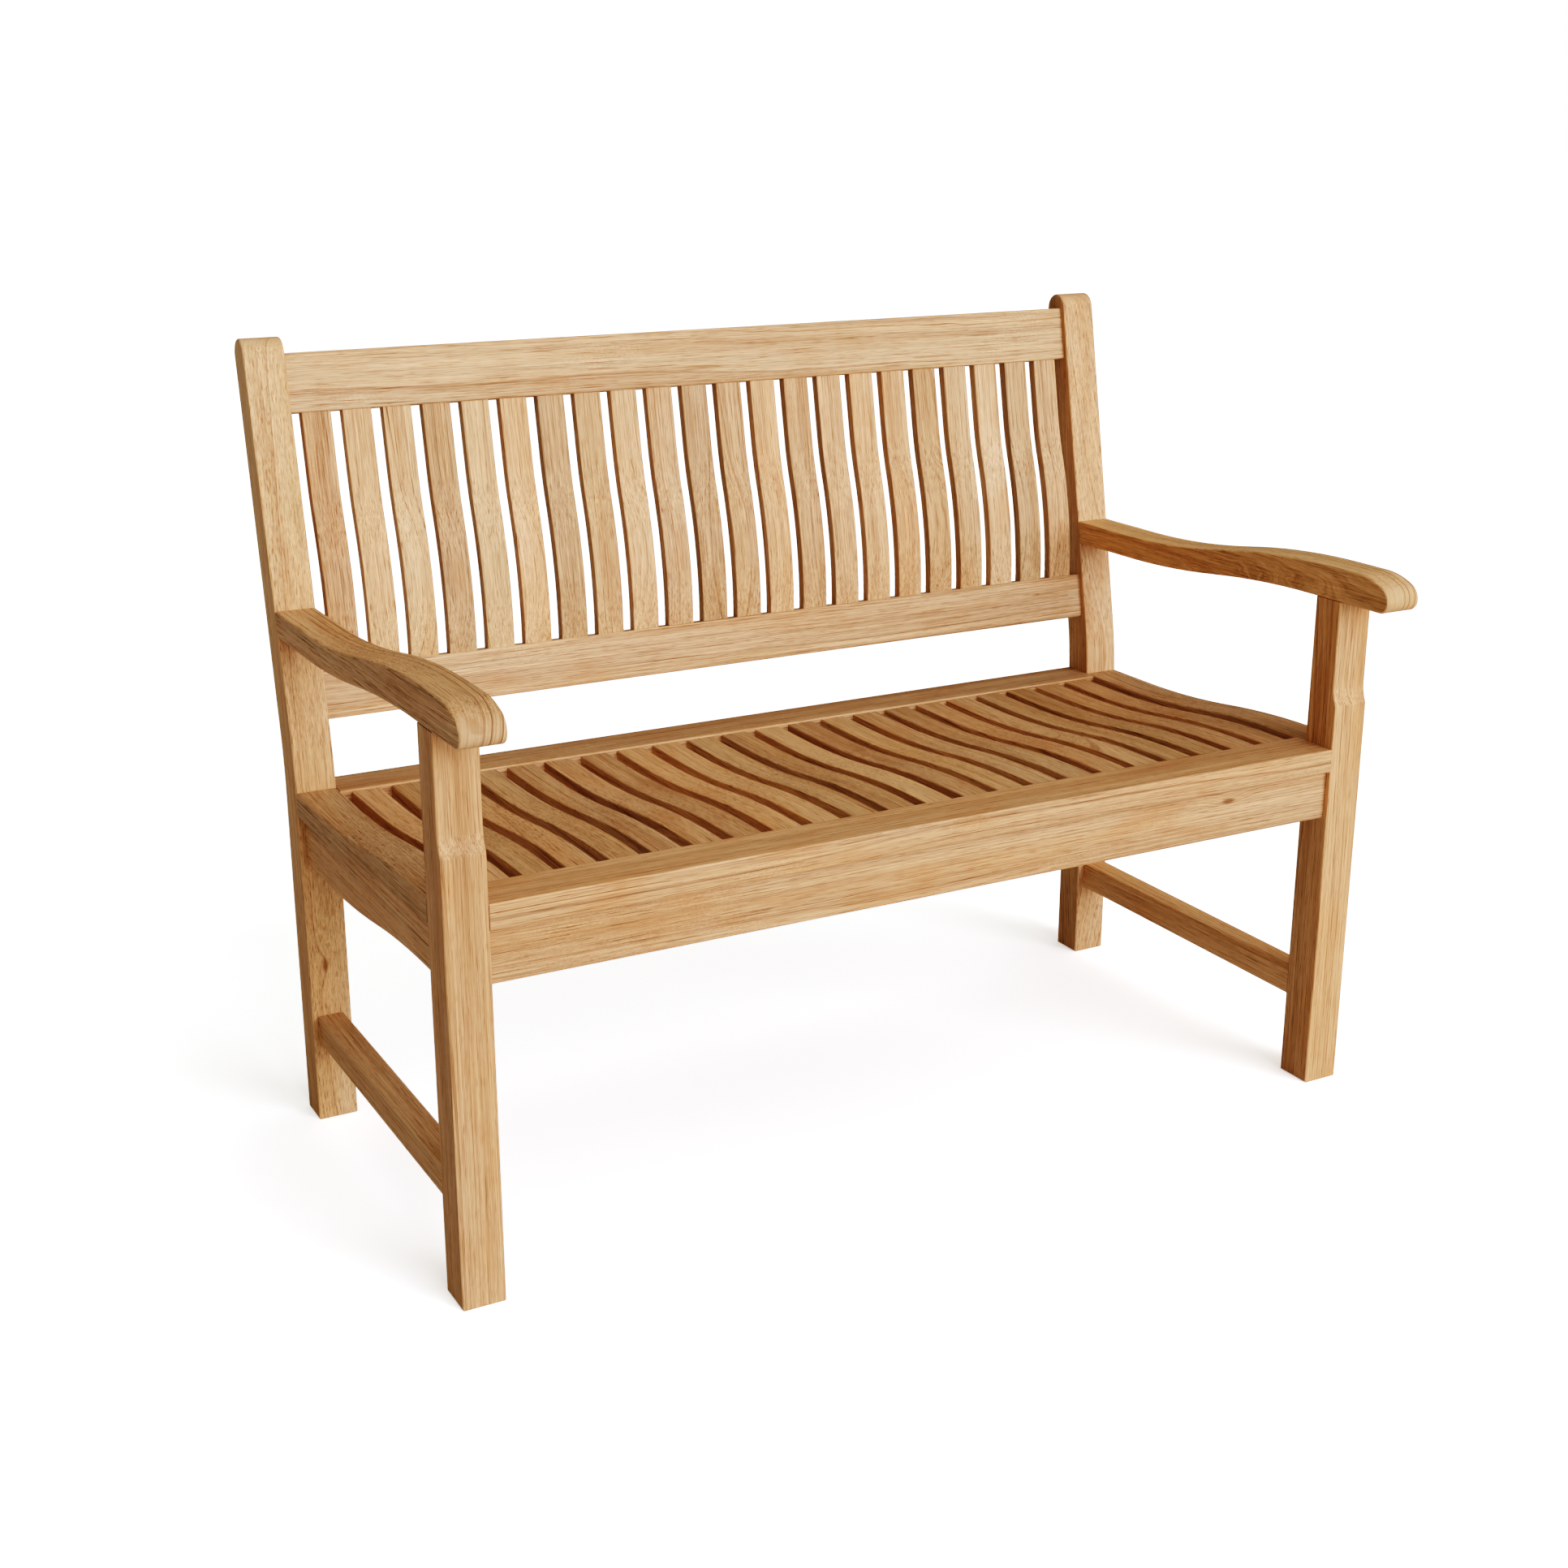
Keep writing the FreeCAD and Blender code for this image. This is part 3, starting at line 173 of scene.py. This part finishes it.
def teak_grain():
    """Solid teak as a node group. The board lies with its grain along x. Growth rings and finer
    lines between them are cylinders about a pith line beside the board, wavy along the grain and
    pushed aside by a knot. Pores, fibres, streaks, bands and patches of curled grain lie over
    them. Where the board is cut across its grain, pores and curls vanish and fibres and streaks
    weaken."""
    tree = bpy.data.node_groups.new("teak_grain", "ShaderNodeTree")
    sockets = [
        ("Board", "NodeSocketVector"), ("Shift", "NodeSocketVector"), ("Pith", "NodeSocketVector"),
        ("Tone", "NodeSocketFloat"), ("Warmth", "NodeSocketFloat"), ("Lines", "NodeSocketFloat"),
        ("Knot", "NodeSocketVector"),
        ("Knot Swell", "NodeSocketFloat"), ("Normal", "NodeSocketVector"),
    ]
    for name, kind in sockets:
        tree.interface.new_socket(name, in_out="INPUT", socket_type=kind)
    results = [("Color", "NodeSocketColor"), ("Roughness", "NodeSocketFloat"), ("Height", "NodeSocketFloat")]
    for name, kind in results:
        tree.interface.new_socket(name, in_out="OUTPUT", socket_type=kind)
    n = Nodes(tree)
    given = n.add("NodeGroupInput").outputs
    place = n.vector("ADD", given["Board"], given["Shift"])

    # The knot swells the rings around it into an eye that is long along the grain.
    from_knot = n.vector("SUBTRACT", given["Board"], given["Knot"])
    eye = n.vector("MULTIPLY", from_knot, (KNOT_STRETCH, 0.0, 1.0))
    eye_distance = n.length(eye)
    eye_squared = n.math("POWER", n.math("DIVIDE", eye_distance, KNOT_REACH), 2.0)
    swell = n.math("MULTIPLY", n.math("EXPONENT", n.math("MULTIPLY", eye_squared, -1.0)), given["Knot Swell"])

    # Growth rings of uneven width.
    sway = n.math("SUBTRACT", n.noise(place, (1.6, 7.0, 7.0), 1.0), 0.5)
    ripple = n.math("SUBTRACT", n.noise(place, (16.0, 60.0, 60.0), 2.0), 0.5)
    across = n.vector("MULTIPLY", n.vector("ADD", given["Board"], given["Pith"]), (0.0, 1.0, 1.0))
    radius = n.math("MULTIPLY_ADD", sway, 0.024, n.length(across))
    radius = n.math("MULTIPLY_ADD", ripple, 0.0012, radius)
    radius = n.math("ADD", radius, swell)
    years = n.line_noise(n.math("MULTIPLY", radius, 110.0), 0.0)
    radius = n.math("MULTIPLY_ADD", years, 0.0045, radius)
    rings = n.math("DIVIDE", radius, RING_WIDTH)
    ring_share = n.math("FRACT", rings)
    ring_draw = n.draws(n.math("FLOOR", rings))["Value"]
    ring_strength = n.math("MULTIPLY_ADD", n.math("POWER", ring_draw, 2.0), 0.75, 0.25)
    ring_strength = n.math("MULTIPLY", ring_strength, given["Lines"])
    fine_lines = n.math("SUBTRACT", n.line_noise(n.math("MULTIPLY", radius, 620.0), 1.0), 0.5)
    fine_lines = n.math("MULTIPLY", fine_lines, given["Lines"])
    ring_start = n.math("MULTIPLY", n.fade(ring_share, 0.46, 0.10), n.fade(ring_share, 0.0, 0.08))
    ring_end = n.fade(ring_share, 0.50, 1.0)

    # Pores, fibres, bands and curled patches.
    facing = n.add("ShaderNodeSeparateXYZ", {0: n.vector("ABSOLUTE", given["Normal"])}).outputs
    end_grain = n.fade(facing[0], 0.25, 0.80)
    side_grain = n.math("SUBTRACT", 1.0, end_grain)
    pores = n.fade(n.noise(place, (14.0, 900.0, 900.0), 1.0), 0.54, 0.62)
    fine_pores = n.fade(n.noise(place, (60.0, 1300.0, 1300.0), 0.0), 0.56, 0.70)
    pore_share = n.math("MULTIPLY", pores, n.math("MULTIPLY_ADD", ring_start, 0.60, 0.40))
    pore_share = n.math("MULTIPLY_ADD", fine_pores, 0.40, pore_share)
    pore_share = n.math("MULTIPLY", pore_share, side_grain)
    fibres = n.math("SUBTRACT", n.noise(place, (2.4, 800.0, 800.0), 2.0, 0.65), 0.5)
    fibres = n.math("MULTIPLY", fibres, n.math("MULTIPLY_ADD", end_grain, -0.7, 1.0))
    streaks = n.math("SUBTRACT", n.noise(place, (1.2, 210.0, 210.0), 2.0), 0.5)
    streaks = n.math("MULTIPLY", streaks, n.math("MULTIPLY_ADD", end_grain, -0.7, 1.0))
    bands = n.noise(place, (1.1, 42.0, 42.0), 1.0)
    slow = n.noise(place, (1.3, 14.0, 14.0), 2.0)
    patches = n.noise(place, (9.0, 30.0, 30.0), 2.0)
    curl_place = n.noise(place, (6.0, 18.0, 18.0), 1.0)
    curl = n.math("SUBTRACT", n.noise(place, (260.0, 420.0, 420.0), 1.0), 0.5)
    curl = n.math("MULTIPLY", curl, n.math("MULTIPLY", n.fade(curl_place, 0.54, 0.74), side_grain))

    base = n.blend(n.fade(slow, 0.30, 0.70), PALE_WOOD, HONEY_WOOD)
    rusty_patches = n.math("MULTIPLY", n.fade(patches, 0.46, 0.76), 0.45)
    rusty = n.math("MULTIPLY_ADD", given["Warmth"], 0.26, rusty_patches)
    base = n.blend(n.math("MAXIMUM", rusty, 0.0), base, RUST_WOOD)
    olive_patches = n.math("MULTIPLY", n.fade(patches, 0.44, 0.22), 0.25)
    olive = n.math("MULTIPLY_ADD", given["Warmth"], -0.20, olive_patches)
    base = n.blend(n.math("MAXIMUM", olive, 0.0), base, OLIVE_WOOD)
    base = n.blend(n.math("MULTIPLY", n.fade(bands, 0.56, 0.72), 0.42), base, BROWN_WOOD)
    late = n.math("MULTIPLY", n.math("MULTIPLY", ring_end, ring_strength), 0.40)
    base = n.blend(late, base, BROWN_WOOD)
    early = n.math("MULTIPLY", n.math("MULTIPLY", ring_start, ring_strength), 0.58)
    base = n.blend(early, base, PORE_LINE)
    base = n.blend(n.math("MULTIPLY", pore_share, 0.64), base, PORE_LINE)

    light = n.math("MULTIPLY_ADD", fibres, 0.80, 1.0)
    light = n.math("MULTIPLY_ADD", fine_lines, 0.50, light)
    light = n.math("MULTIPLY_ADD", streaks, 0.48, light)
    light = n.math("MULTIPLY_ADD", curl, 0.45, light)
    light = n.math("MULTIPLY_ADD", given["Tone"], 0.13, light)

    # Knot heart, end grain, and a painted highlight along the eased edges.
    heart = n.fade(eye_distance, KNOT_RIM, KNOT_CORE)
    has_knot = n.fade(given["Knot Swell"], 0.0, 0.002)
    base = n.blend(n.math("MULTIPLY", heart, n.math("MULTIPLY", has_knot, 0.75)), base, KNOT_HEART)
    # Mask of the eased edges. The painted highlight goes here, and the wood is a little smoother here.
    highlit_edges = n.fade(n.math("MINIMUM", facing[1], facing[2]), 0.15, 0.60)
    light = n.math("MULTIPLY", light, n.math("MULTIPLY_ADD", end_grain, -0.14, 1.0))
    # Painted highlight: the eased edges are painted up to 8% lighter, as if light caught their rounding.
    light = n.math("MULTIPLY", light, n.math("MULTIPLY_ADD", highlit_edges, 0.08, 1.0))
    grey = n.add("ShaderNodeCombineColor", {0: light, 1: light, 2: light}).outputs[0]
    colour = n.blend(1.0, base, grey, "MULTIPLY")

    rough = n.math("MULTIPLY_ADD", pore_share, 0.22, 0.42)
    rough = n.math("MULTIPLY_ADD", fibres, 0.30, rough)
    rough = n.math("MULTIPLY_ADD", end_grain, 0.20, rough)
    rough = n.math("MULTIPLY_ADD", highlit_edges, -0.06, rough)
    height = n.math("MULTIPLY_ADD", pore_share, -1.0, n.math("MULTIPLY", fibres, 0.8))
    height = n.math("MULTIPLY_ADD", ring_start, -0.35, height)
    n.add("NodeGroupOutput", {"Color": colour, "Roughness": rough, "Height": height})
    return tree


def slat_draws(n, board):
    """The random draws of each seat slat, from its place in the row."""
    along_row = n.add("ShaderNodeSeparateXYZ", {0: board}).outputs[0]
    from_edge = n.math("ADD", along_row, CLEAR_WIDTH / 2 - SLAT_GAP / 2)
    number = n.math("FLOOR", n.math("DIVIDE", from_edge, SLAT_PITCH))
    return n.draws(n.math("ADD", number, SLAT_DRAW_START))


def pith_line(name, draw):
    """Where the pith runs beside a board. The arms are quarter-sawn, with their rings standing
    upright. In the other boards the rings slant, which gives lines along every face."""
    if name.startswith("arm"):
        angle, distance = ARM_PITH
    else:
        angle = math.radians(45 + 90 * draw.integers(4) + draw.uniform(-28, 28))
        distance = draw.uniform(0.05, 0.16)
    return Vector((0, math.cos(angle) * distance, math.sin(angle) * distance))


def wood(name, turn, middle, draw, knot=None, swell=0.0, shared_by_slats=False):
    """The teak of one piece: its place is turned so that the grain runs along x, and shifted
    so that no two pieces show the same figure. Slats that share a node each get their own."""
    material = bpy.data.materials.new(f"teak_{name}")
    material.use_nodes = True
    tree = material.node_tree
    tree.nodes.clear()
    n = Nodes(tree)
    object_place = n.add("ShaderNodeTexCoord").outputs["Object"]
    angles = turn.to_euler("XYZ")
    lay_down = {"Vector": object_place, "Rotation": angles, "Location": -(turn @ middle)}
    board = n.add("ShaderNodeMapping", lay_down)
    facing = n.add("ShaderNodeNewGeometry").outputs["Normal"]
    normal = n.add("ShaderNodeMapping", {"Vector": facing, "Rotation": angles}, vector_type="VECTOR")
    shift = Vector(draw.uniform(-40, 40, 3))
    paler, redder = BOARD_CASTS.get(name, (0.0, 0.0))
    inputs = {
        "Board": board.outputs[0],
        "Shift": shift,
        "Pith": pith_line(name, draw),
        "Tone": draw.uniform(-1, 1) + paler,
        "Warmth": draw.uniform(-1, 1) + redder,
        "Lines": ARM_LINES if name.startswith("arm") else 1.0,
        "Knot": knot or (0, 0, 0),
        "Knot Swell": swell,
        "Normal": normal.outputs[0],
    }
    if shared_by_slats:
        draws = slat_draws(n, object_place)
        drawn = n.vector("SUBTRACT", draws["Color"], (0.5, 0.5, 0.5))
        inputs["Shift"] = n.vector("MULTIPLY", drawn, (60.0, 60.0, 60.0))
        inputs["Pith"] = n.vector("MULTIPLY_ADD", drawn, (0.0, 1.6, 0.05), (0.0, 0.0, 0.09))
        inputs["Tone"] = n.math("MULTIPLY_ADD", draws["Value"], 2.0, -1.0)
        inputs["Warmth"] = n.math("SINE", n.math("MULTIPLY", draws["Value"], 50.0))
    group = n.add("ShaderNodeGroup", node_tree=TEAK_GRAIN)
    for key, value in inputs.items():
        n.feed(group.inputs[key], value)
    relief = {"Height": group.outputs["Height"], "Strength": 0.5, "Distance": BUMP_DEPTH}
    bump = n.add("ShaderNodeBump", relief)
    shader = n.add("ShaderNodeBsdfPrincipled", {
        "Base Color": group.outputs["Color"],
        "Roughness": group.outputs["Roughness"],
        "Normal": bump.outputs[0],
        "Specular IOR Level": 0.2,
    })
    n.add("ShaderNodeOutputMaterial", {"Surface": shader.outputs[0]})
    return material


def grain_of(name):
    return next(grain for start, grain in GRAIN_OF if name.startswith(start))


TEAK_GRAIN = teak_grain()
# Knots: the node, the knot's place from the middle of its board, and how far it swells the rings.
KNOTS = {
    "front_apron": ((0.405, 0, 0.016), 0.007),
    "back_post_left": ((-0.28, 0, 0.004), 0.009),
}

# How much paler and how much redder some boards are; below zero, darker and more olive.
BOARD_CASTS = {
    "arm_right": (2.4, -1.2),
    "arm_left": (-0.6, -0.8),
    "side_stretcher_right": (2.6, -0.6),
    "back_post_right": (1.2, -0.4),
    "front_leg_left": (0.2, 0.8),
    "front_leg_right": (1.2, 0.0),
    "front_board": (-0.3, 1.2),
    "front_apron": (0.2, 1.2),
}

draw = np.random.default_rng(41)
for name in sorted(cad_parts):
    low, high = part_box(name)
    turn = GRAIN_TURNS[grain_of(name)]
    knot, swell = KNOTS.get(name, (None, 0.0))
    finish = wood(name, turn, (low + high) / 2, draw, knot, swell, name == "seat_slats")
    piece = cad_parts[name]
    for slot in piece.material_slots:
        slot.material = finish


def plane(name, corners, material):
    """A flat four-cornered sheet; its faces are the corners in order."""
    mesh = bpy.data.meshes.new(name)
    mesh.from_pydata(corners, [], [(0, 1, 2, 3)])
    mesh.materials.append(material)
    sheet = bpy.data.objects.new(name, mesh)
    bpy.context.scene.collection.objects.link(sheet)
    return sheet


def pale_floor_paint():
    """White floor paint. What the camera sees of it is brighter than what it throws back onto
    the bench, so that it reads as clean white paper with only the contact shadows."""
    material = bpy.data.materials.new("pale_floor_paint")
    material.use_nodes = True
    tree = material.node_tree
    tree.nodes.clear()
    n = Nodes(tree)
    seen = n.add("ShaderNodeLightPath").outputs["Is Camera Ray"]
    colour = n.blend(seen, FLOOR_THROWN, FLOOR_SHOWN)
    paint = n.add("ShaderNodeBsdfDiffuse", {"Color": colour})
    glow = n.add("ShaderNodeEmission", {"Strength": n.math("MULTIPLY", seen, FLOOR_GLOW)})
    shader = n.add("ShaderNodeAddShader", {0: paint.outputs[0], 1: glow.outputs[0]})
    n.add("ShaderNodeOutputMaterial", {"Surface": shader.outputs[0]})
    return material


FLOOR_REACH = 30.0
floor_corners = [
    (-FLOOR_REACH, -FLOOR_REACH, 0), (FLOOR_REACH, -FLOOR_REACH, 0),
    (FLOOR_REACH, FLOOR_REACH, 0), (-FLOOR_REACH, FLOOR_REACH, 0),
]
floor = plane("floor", floor_corners, pale_floor_paint())


def distant_light(name, direction, strength, spread, colour):
    """A very large soft light, far off in the given direction; spread is its width in degrees."""
    light = bpy.data.lights.new(name, "SUN")
    light.energy = strength
    light.color = colour
    light.angle = math.radians(spread)
    lamp = bpy.data.objects.new(name, light)
    lamp.rotation_euler = Vector(direction).to_track_quat("Z", "Y").to_euler()
    bpy.context.scene.collection.objects.link(lamp)


distant_light("key_light", (0.25, -0.95, 0.17), 2.5, 50, (1.0, 1.0, 1.06))
distant_light("top_light", (0.30, -0.30, 0.90), 0.62, 90, (1.0, 0.99, 0.97))

world = bpy.data.worlds.new("studio")
world.use_nodes = True
world.node_tree.nodes.clear()
w = Nodes(world.node_tree)
camera_ray = w.add("ShaderNodeLightPath").outputs["Is Camera Ray"]
sky = w.blend(camera_ray, SKY_THROWN, SKY_SHOWN)
background = w.add("ShaderNodeBackground", {"Color": sky, "Strength": 1.0})
w.add("ShaderNodeOutputWorld", {"Surface": background.outputs[0]})
bpy.context.scene.world = world

# The tone of a studio print: deep shadows, bright middle tones and a clean white.
TONE_CURVE = [
    (0.0, 0.0), (0.03, 0.010), (0.06, 0.040), (0.10, 0.100),
    (0.20, 0.285), (0.40, 0.565), (0.60, 0.73), (1.0, 1.0),
]
look = bpy.context.scene.view_settings
look.view_transform = "Standard"
look.use_curve_mapping = True
tone = look.curve_mapping.curves[3]
tone.points[0].location = TONE_CURVE[0]
tone.points[1].location = TONE_CURVE[-1]
for point in TONE_CURVE[1:-1]:
    tone.points.new(*point)
look.curve_mapping.update()

CAMERA_PLACE = (-1.2789, -2.2376, 1.2524)
LOOK_DOWN = 0.3132                 # radians below level
LOOK_RIGHT = 0.4974                # radians to the right of straight back
optics = bpy.data.cameras.new("camera")
optics.sensor_width = 36.0
optics.lens = 49.81
optics.clip_end = 200.0
camera = bpy.data.objects.new("camera", optics)
camera.location = CAMERA_PLACE
camera.rotation_euler = Euler((math.pi / 2 - LOOK_DOWN, 0.0, -LOOK_RIGHT), "XYZ")
bpy.context.scene.collection.objects.link(camera)
bpy.context.scene.camera = camera
